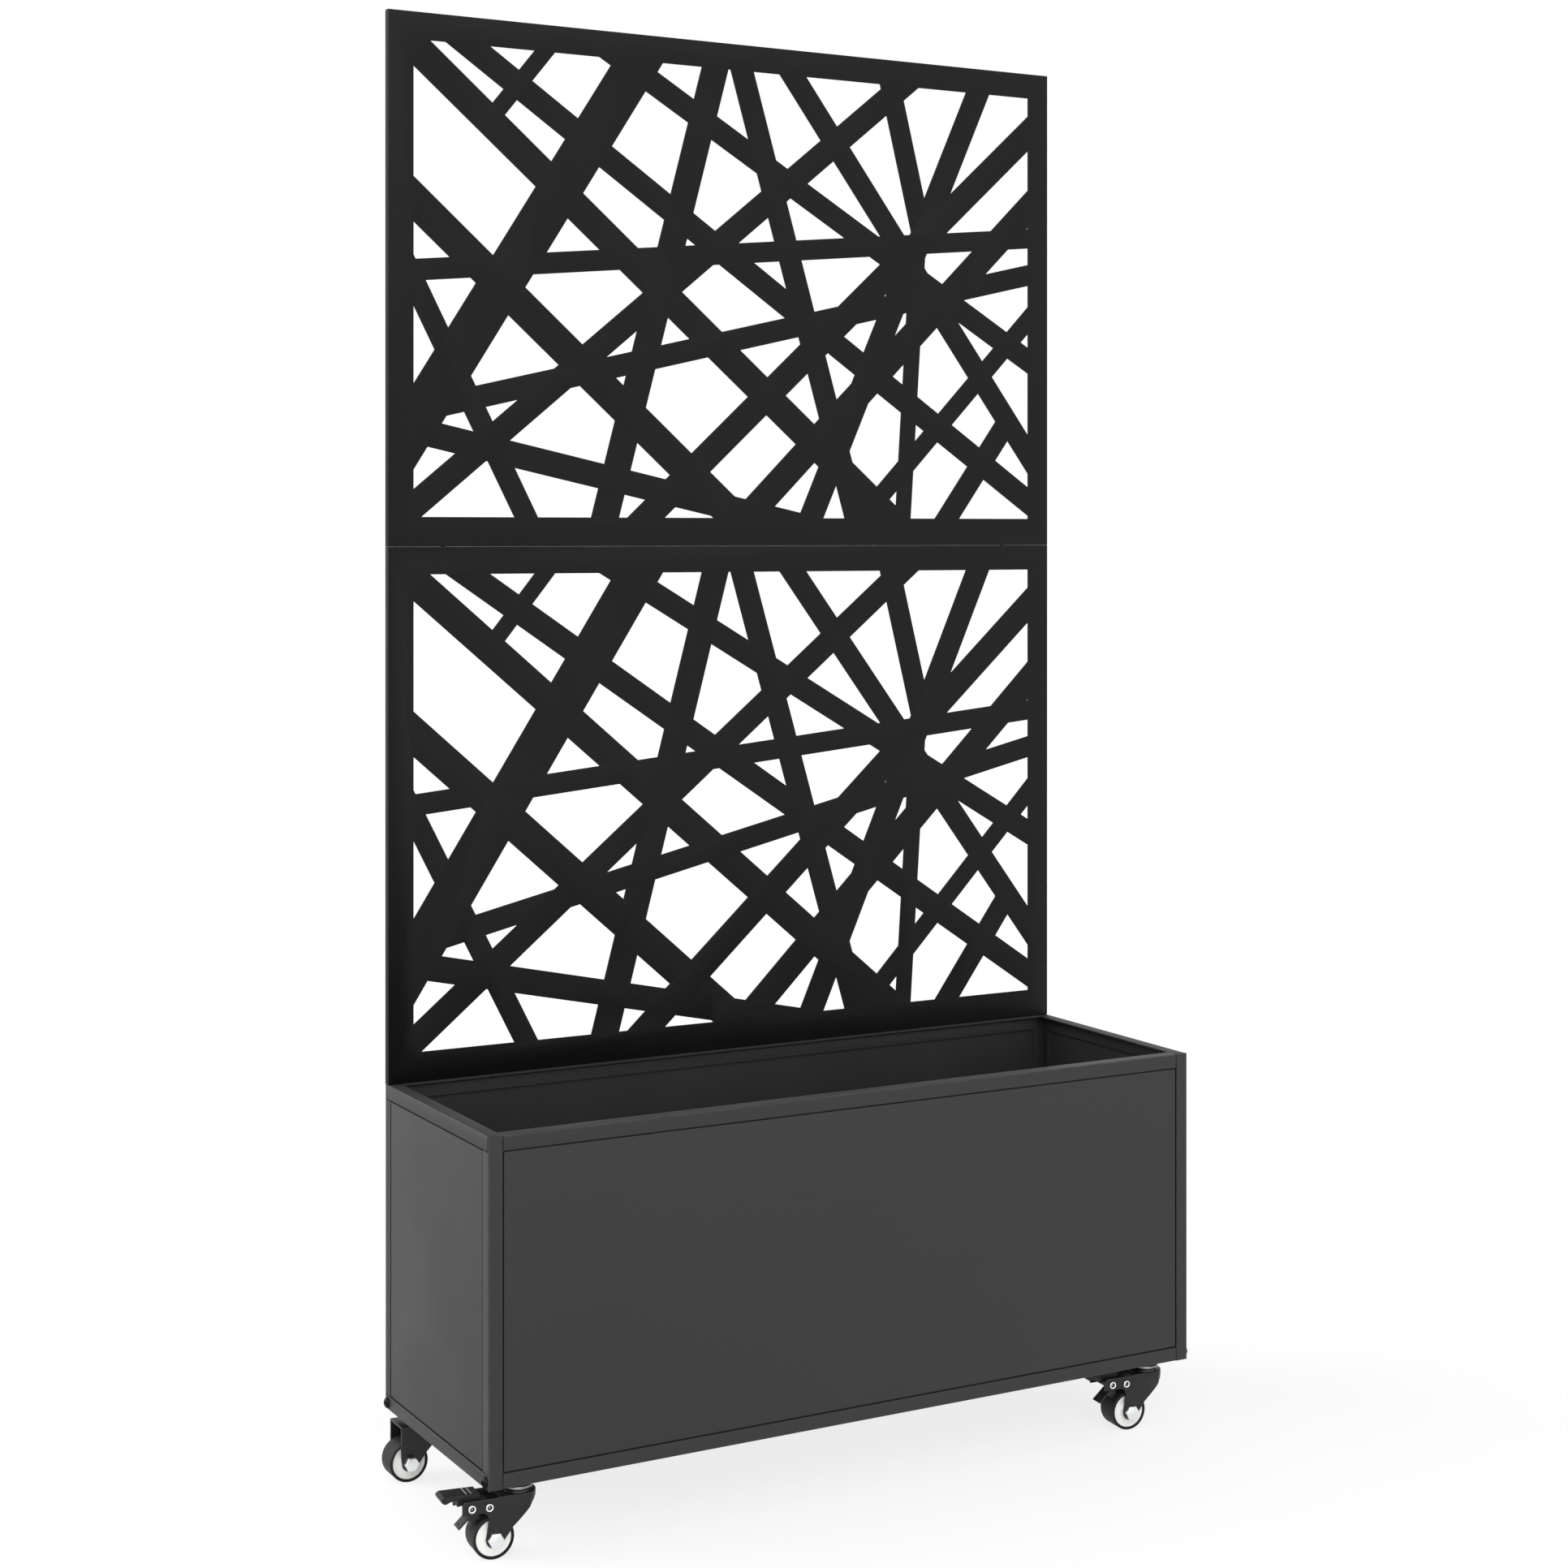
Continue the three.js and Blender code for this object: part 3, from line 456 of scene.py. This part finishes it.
def plain_metal(name, colour, tint, roughness, grain):
    """A plated or oiled metal surface with an uneven grain of this size in mm, and faint
    stains in another tint. Where the face attribute "recess" is 1, painted black shade covers it."""
    metal, tree = blank_material(name)
    place = add_node(tree, "ShaderNodeTexCoord").outputs["Object"]
    stain_size = 6.25  # mm
    stain = add_node(tree, "ShaderNodeTexNoise", {
        "Vector": place, "Scale": 1 / (stain_size * mm), "Detail": 3})
    fine = add_node(tree, "ShaderNodeTexNoise", {
        "Vector": place, "Scale": 1 / (grain * mm), "Detail": 2})
    shade = add_node(tree, "ShaderNodeMix", {
        0: stain.outputs["Fac"], 6: linear(colour), 7: linear(tint)}, data_type="RGBA")
    dull = add_node(tree, "ShaderNodeMapRange", {
        "Value": stain.outputs["Fac"], "From Min": 0.3, "From Max": 0.7,
        "To Min": roughness * 0.8, "To Max": roughness * 1.25})
    # Painted shade: where "recess" is 1, a black non-metal colour stands in for the shade inside
    # a hollow.
    recess = add_node(tree, "ShaderNodeAttribute", attribute_name="recess").outputs["Fac"]
    shade_painted_in = add_node(tree, "ShaderNodeMix", {
        0: recess, 6: shade.outputs[2], 7: linear("161616")}, data_type="RGBA")
    bare = add_node(tree, "ShaderNodeMath", {0: 1.0, 1: recess}, operation="SUBTRACT")
    bump = add_node(tree, "ShaderNodeBump", {
        "Strength": 0.2, "Distance": 0.02 * mm, "Height": fine.outputs["Fac"]})
    shader = add_node(tree, "ShaderNodeBsdfPrincipled", {
        "Base Color": shade_painted_in.outputs[2], "Metallic": bare.outputs[0],
        "Roughness": dull.outputs[0], "Normal": bump.outputs[0]})
    add_node(tree, "ShaderNodeOutputMaterial", {0: shader.outputs[0]})
    return metal


black_screw = plain_metal("black_oxide_screw_steel", "1c1c1d", "252526", 0.34, 0.3)


def screws(name, kind, nodes, way, seed):
    """The screws that stand for these nodes, with their heads at the ends that way points to."""
    places = []
    for node in nodes:
        low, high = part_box(node)
        out = Vector(way(low))
        seat = (low + high) / 2
        for axis_number in range(3):
            if out[axis_number]:
                outer = high if out[axis_number] > 0 else low
                seat[axis_number] = outer[axis_number] - out[axis_number] * kind["height"] * mm
        places.append((seat, out))
    mesh = fixings(button_screw(**kind), places, math.pi / 3, seed, black_screw)
    stands_for(name, mesh, black_screw, "black_screw", *nodes)


# Radii of shank and head, then heights and widths, in mm.
corner_screw = {"shank": 3, "head": 5.4, "height": 3.2, "socket": 4, "length": 8.1}
panel_screw = {"shank": 2, "head": 3.1, "height": 2.4, "socket": 2.5, "length": 4.5}
corners = ("front_left", "front_right", "rear_left", "rear_right")
screws(
    "corner_screws.m6_button_head", corner_screw, [f"{c}_corner_screw" for c in corners],
    lambda low: (math.copysign(1, low.x), 0, 0), 4)
screws(
    "trellis_screws.m4_button_head", panel_screw,
    [f"{level}_trellis_{side}_screw" for level in ("lower", "upper")
     for side in ("left", "right")],
    lambda low: (0, 0, 1), 9)

# --- Caster plates and forks ---------------------------------------------------------------
# Pressed from 2 mm steel and dipped in black paint. The swivel fork is drawn into a round nose
# under its ball race, and the rigid fork is folded square and welded to its plate.


def painted_steel(name, colour, lighter, roughness):
    """Dip paint or a like thin coat on pressed steel: half gloss, a little wavy, and worn to a
    lighter colour on the edges."""
    paint, tree = blank_material(name)
    place = add_node(tree, "ShaderNodeTexCoord").outputs["Object"]
    # Runs in the paint, and die lines and dust under it. Sizes in mm.
    run_size, dust_size = 11.1, 0.625
    run = add_node(tree, "ShaderNodeTexNoise", {
        "Vector": place, "Scale": 1 / (run_size * mm), "Detail": 3})
    dust = add_node(tree, "ShaderNodeTexNoise", {
        "Vector": place, "Scale": 1 / (dust_size * mm), "Detail": 2})
    edge = add_node(tree, "ShaderNodeAttribute", attribute_name="edge")
    rub = add_node(tree, "ShaderNodeMapRange", {
        "Value": run.outputs["Fac"], "From Min": 0.4, "From Max": 0.65,
        "To Min": 0.3, "To Max": 0.9})
    lightening = add_node(tree, "ShaderNodeMath", {
        0: edge.outputs["Fac"], 1: rub.outputs[0]}, operation="MULTIPLY")
    shade = add_node(tree, "ShaderNodeMix", {
        0: lightening.outputs[0], 6: linear(colour), 7: linear(lighter)}, data_type="RGBA")
    dull = add_node(tree, "ShaderNodeMapRange", {
        "Value": run.outputs["Fac"], "From Min": 0.3, "From Max": 0.7,
        "To Min": roughness * 0.85, "To Max": roughness * 1.15})
    relief = add_node(tree, "ShaderNodeMath", {
        0: run.outputs["Fac"], 1: dust.outputs["Fac"]}, operation="ADD")
    bump = add_node(tree, "ShaderNodeBump", {
        "Strength": 0.2, "Distance": 0.04 * mm, "Height": relief.outputs[0]})
    shader = add_node(tree, "ShaderNodeBsdfPrincipled", {
        "Base Color": shade.outputs[2], "Roughness": dull.outputs[0],
        "Specular IOR Level": 0.35, "Normal": bump.outputs[0]})
    add_node(tree, "ShaderNodeOutputMaterial", {0: shader.outputs[0]})
    return paint


fork_paint = painted_steel("black_dip_painted_steel", "171718", "303132", 0.42)
for side in ("left", "right"):
    for node, how in (
            (f"front_{side}_fork", "pressed"), (f"front_{side}_top_plate", "stamped"),
            (f"rear_{side}_rigid_fork", "folded")):
        stands_for(f"{node}.{how}", rounded(node, cut=0.4), fork_paint, "black_steel", node)

# --- Ball races ----------------------------------------------------------------------------
# A polished steel cover closed over the balls, between the top plate and the fork of each swivel
# caster. It bulges round the balls and has a small lip above and below.
race_steel = plain_metal("polished_steel", "7e7f81", "8b8c8e", 0.12, 0.8)
race_bore, lip_radius, lip_edge, neck_radius, neck_inset = 9, 14, 0.6, 13.3, 1.4
bulge_middle, bulge_radius, bulge_reach = 12.2, 2.8, 58
for side in ("left", "right"):
    node = f"front_{side}_ball_race"
    low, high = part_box(node)
    half = (high.z - low.z) / mm / 2
    race = turned([
        (race_bore, -half), *arc((lip_radius, lip_edge - half), lip_edge, -90, 60, 4),
        (neck_radius, neck_inset - half),
        *arc((bulge_middle, 0), bulge_radius, -bulge_reach, bulge_reach, 12),
        (neck_radius, half - neck_inset),
        *arc((lip_radius, half - lip_edge), lip_edge, -60, 90, 4), (race_bore, half)], 96)
    race.transform(Matrix.Translation((low + high) / 2))
    stands_for(f"{node}.turned", race, race_steel, "polished_steel", node)

# --- Wheels --------------------------------------------------------------------------------
# A moulded polypropylene hub, white all through, in a ring of grey-black thermoplastic rubber.
# The hub's two sides are dished a little between its rim and its boss.
joints = {joint["name"]: joint for joint in frame["joints"]}


def axle_place(prefix):
    """Puts a mesh that is drawn round Z on a caster's axle, with local Y upright."""
    joint = joints[f"{prefix}_wheel_spin"]
    along = Vector(joint["axis"]).normalized()
    up = Vector((0, 0, 1))
    turn = Matrix((up.cross(along), up, along)).transposed().to_4x4()
    return Matrix.Translation(Vector(joint["pos_m"])) @ turn


def mirrored(half_rows):
    """Rows for a shape that is the same on both sides of its middle plane."""
    return half_rows + [(radius, -height) for radius, height in reversed(half_rows)]


def moulded(name, colour, other, scuff_and_highlight, roughness, patch, relief_mm, specular):
    """A moulded plastic or rubber: an even colour with faint patches of this size in mm, and a
    dull mould texture. Marked faces take a lighter colour: partly scuffing, partly painted light."""
    plastic, tree = blank_material(name)
    place = add_node(tree, "ShaderNodeTexCoord").outputs["Object"]
    # Spark-eroded mould texture is 0.1 mm fine, and is drawn coarser to show. Sizes in mm.
    spark_size = 0.5
    tone = add_node(tree, "ShaderNodeTexNoise", {
        "Vector": place, "Scale": 1 / (patch * mm), "Detail": 4})
    spark = add_node(tree, "ShaderNodeTexNoise", {
        "Vector": place, "Scale": 1 / (spark_size * mm), "Detail": 2})
    shade = add_node(tree, "ShaderNodeMix", {
        0: tone.outputs["Fac"], 6: linear(colour), 7: linear(other)}, data_type="RGBA")
    scuff_and_highlight_amount = add_node(tree, "ShaderNodeMapRange", {
        "Value": tone.outputs["Fac"], "From Min": 0.3, "From Max": 0.7,
        "To Min": 0.7, "To Max": 1.0})
    # Where the face attribute is 1, the lighter colour stands partly for scuffing and partly for
    # painted light; on the pedal's grip ridges it is a painted highlight.
    lightened = add_node(tree, "ShaderNodeAttribute", attribute_name="lightened")
    lightening = add_node(tree, "ShaderNodeMath", {
        0: lightened.outputs["Fac"], 1: scuff_and_highlight_amount.outputs[0]}, operation="MULTIPLY")
    worn = add_node(tree, "ShaderNodeMix", {
        0: lightening.outputs[0], 6: shade.outputs[2], 7: linear(scuff_and_highlight)}, data_type="RGBA")
    dull = add_node(tree, "ShaderNodeMapRange", {
        "Value": tone.outputs["Fac"], "From Min": 0.3, "From Max": 0.7,
        "To Min": roughness * 0.9, "To Max": roughness * 1.1})
    bump = add_node(tree, "ShaderNodeBump", {
        "Strength": 0.3, "Distance": relief_mm * mm, "Height": spark.outputs["Fac"]})
    shader = add_node(tree, "ShaderNodeBsdfPrincipled", {
        "Base Color": worn.outputs[2], "Roughness": dull.outputs[0],
        "Specular IOR Level": specular, "Normal": bump.outputs[0]})
    add_node(tree, "ShaderNodeOutputMaterial", {0: shader.outputs[0]})
    return plastic


hub_plastic = moulded("white_polypropylene", "f0f0ee", "f6f6f4", "e8e8e6", 0.4, 12, 0.02, 0.5)
# Its third colour goes on the running surface of the tread: partly real scuffing, partly painted
# light that lifts the lit tread above the dark side walls.
tread_rubber = moulded(
    "grey_black_thermoplastic_rubber", "0e0e0e", "141414", "232323", 0.6, 6, 0.05, 0.25)

# Radii and half widths in mm. A fine groove runs round each side wall of the tyre.
tyre_inner, tyre_radius, tyre_half, tyre_edge = 17.2, 20, 13, 1.8
groove_start, groove_end, groove_depth, tread_start = 17.95, 18.25, 0.25, 19.5
tyre_rows = mirrored([
    (tyre_inner, tyre_half - 1.1), (tyre_inner + 0.2, tyre_half - 0.3),
    (tyre_inner + 0.45, tyre_half), (groove_start, tyre_half - groove_depth),
    (groove_end, tyre_half - groove_depth), (groove_end + 0.1, tyre_half),
    *arc((tyre_radius - tyre_edge, tyre_half - tyre_edge), tyre_edge, 80, 0, 7)])
hub_bore, hub_boss, hub_outer, hub_face, boss_face = 4.15, 9.5, 17.05, 11.5, 13.7
dish_depth, dish_end, rim_start, bore_edge, boss_edge, rim_edge = 0.5, 15.9, 16.3, 0.3, 0.4, 0.2
hub_rows = mirrored([
    (hub_bore, boss_face - bore_edge), (hub_bore + bore_edge, boss_face),
    (hub_boss - boss_edge, boss_face), (hub_boss, boss_face - boss_edge),
    (hub_boss, hub_face), (hub_boss + dish_depth, hub_face - dish_depth),
    (dish_end, hub_face - dish_depth), (rim_start, hub_face),
    (hub_outer - rim_edge, hub_face), (hub_outer, hub_face - rim_edge)])


def mark(mesh, name, amount):
    """Adds a face attribute with the amount, 0 to 1, that each face's middle gives."""
    marks = mesh.attributes.new(name, "FLOAT", "FACE")
    marks.data.foreach_set("value", [float(amount(face.center)) for face in mesh.polygons])


for prefix in corners:
    for part, rows, material, slot in (
            ("tyre", tyre_rows, tread_rubber, "tread"),
            ("hub", hub_rows, hub_plastic, "white_hub")):
        mesh = turned(rows, 96)
        if part == "tyre":
            # The running surface gets the lighter colour: partly scuffing, partly painted light.
            mark(mesh, "lightened", lambda middle: middle.xy.length > tread_start * mm)
        mesh.transform(axle_place(prefix))
        node = f"{prefix}_{part}"
        stands_for(f"{node}.moulded", mesh, material, slot, node)

# --- Axle bolts and nuts -------------------------------------------------------------------
# M8 hexagon bolts and nuts, zinc plated. A turned chamfer cuts their corners, so the edge of
# each flat curves.
zinc_plate = plain_metal("zinc_plated_steel", "e6e8ea", "eeeff0", 0.3, 0.5)
fork_outer, bolt_gap, across_flats = 16, 0.3, 13
head_height, nut_height, bolt_radius, nut_play = 5, 4, 4, 0.15
thread_past, end_chamfer = 0.5, 0.5
chamfer_radius, chamfer_angle = across_flats * 0.475, 30
bolt_hexagon = hexagon(across_flats)


def chamfer(face, way):
    """The height of a chamfered hexagon's outer edge, which falls away towards its corners."""
    slope = math.tan(math.radians(chamfer_angle))
    return lambda angle: face - way * (bolt_hexagon(angle) - chamfer_radius) * slope


for prefix in corners:
    place = axle_place(prefix)
    nut_node = f"{prefix}_axle_nut"
    low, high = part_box(nut_node)
    nut_side = math.copysign(1, (place.inverted() @ ((low + high) / 2)).z)
    seat = fork_outer + bolt_gap
    head_top = -seat - head_height
    bolt_end = seat + nut_height + thread_past
    bolt = turned([
        (0, head_top), (chamfer_radius, head_top), (bolt_hexagon, chamfer(head_top, -1)),
        (bolt_hexagon, -seat), (bolt_radius, -seat), (bolt_radius, bolt_end - end_chamfer),
        (bolt_radius - end_chamfer, bolt_end), (0, bolt_end)], 72)
    nut_top = seat + nut_height
    nut_bore = bolt_radius + nut_play
    nut = turned([
        (nut_bore, seat), (chamfer_radius, seat), (bolt_hexagon, chamfer(seat, -1)),
        (bolt_hexagon, chamfer(nut_top, 1)), (chamfer_radius, nut_top), (nut_bore, nut_top)], 72)
    flip = Matrix.Rotation(math.pi if nut_side < 0 else 0, 4, "Y")
    for mesh, part in ((bolt, "axle_bolt"), (nut, "axle_nut")):
        mesh.transform(place @ flip)
        node = f"{prefix}_{part}"
        stands_for(f"{node}.forged", mesh, zinc_plate, "zinc", node)

# --- Brake pedals and leaves ---------------------------------------------------------------
# The pedal is moulded from black nylon with two grip ridges, whose tops carry a painted grey
# highlight. The leaf is a strip of spring steel with a hole near its free end. It carries the
# shoe, which bears on the tread when the pedal is down.
ridge_foot, ridge_reach = 11.85, 6  # mm above the pedal's pivot, and mm away from it
# The third colour, 9a9a9a, is a painted highlight on the tops of the grip ridges.
pedal_nylon = moulded("black_moulded_nylon", "0e0e0f", "141415", "9a9a9a", 0.5, 4, 0.04, 0.35)
leaf_steel = painted_steel("grey_phosphated_spring_steel", "232425", "3a3b3d", 0.45)
for side in ("left", "right"):
    node = f"front_{side}_brake_pedal"
    pivot = Vector(joints[f"front_{side}_pedal_press"]["pos_m"])
    pedal = rounded(node, cut=0.35)
    # Marks the ridge tops for the painted highlight.
    mark(pedal, "lightened", lambda middle: middle.z - pivot.z > ridge_foot * mm
         and (middle - pivot).xy.length < ridge_reach * mm)
    stands_for(f"{node}.moulded", pedal, pedal_nylon, "black_nylon", node)
    node = f"front_{side}_brake_leaf"
    stands_for(f"{node}.pressed", rounded(node, cut=0.15), leaf_steel, "black_steel", node)

# --- Brake rivets --------------------------------------------------------------------------
# Hollow rivets of zinc plated steel, rolled over at both ends into a round ring. The bottom of
# the bore is a shallow button. Painted shade makes the groove round it black and the button grey.
rivet_shank, rivet_head, rivet_height, rivet_bore, bore_depth = 2.2, 3.8, 1.2, 2.1, 1.5
button_top, button_foot, button_drop, button_edge = 1.2, 1.5, 0.3, 0.4
ring_radius = (rivet_head - rivet_bore) / 2
rivet_rows = [
    (0, -button_drop), (button_top, -button_edge), (button_foot, -button_edge - button_drop),
    (button_foot, -bore_depth), (rivet_bore, -bore_depth),
    *arc((rivet_bore + ring_radius, rivet_height - ring_radius), ring_radius, 180, 0, 10),
    (rivet_head - 0.3, 0), (rivet_shank, 0)]
half_length = fork_outer + bolt_gap
rivet = turned(
    [(radius, half_length + height) for radius, height in rivet_rows]
    + [(radius, -half_length - height) for radius, height in reversed(rivet_rows)], 48)


def painted_recess_shade(middle):
    """Painted shade: black in the groove, lighter on the button, and none on the ring."""
    on_ring, on_button, in_groove = 0, 0.72, 1
    radius = middle.xy.length / mm
    if radius > rivet_bore:
        return on_ring
    return in_groove if radius > button_top else on_button


# Paints shade into the rivet's bore: black in the groove, grey on the button.
mark(rivet, "recess", painted_recess_shade)
for side in ("left", "right"):
    nodes = [f"front_{side}_{name}_rivet" for name in ("pedal", "leaf")]
    along = Vector(joints[f"front_{side}_wheel_spin"]["axis"])
    places = [((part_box(node)[0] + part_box(node)[1]) / 2, along) for node in nodes]
    mesh = fixings(rivet.copy(), places, 0.0, 1, zinc_plate)
    stands_for(f"front_{side}_rivets.rolled", mesh, zinc_plate, "zinc", *nodes)
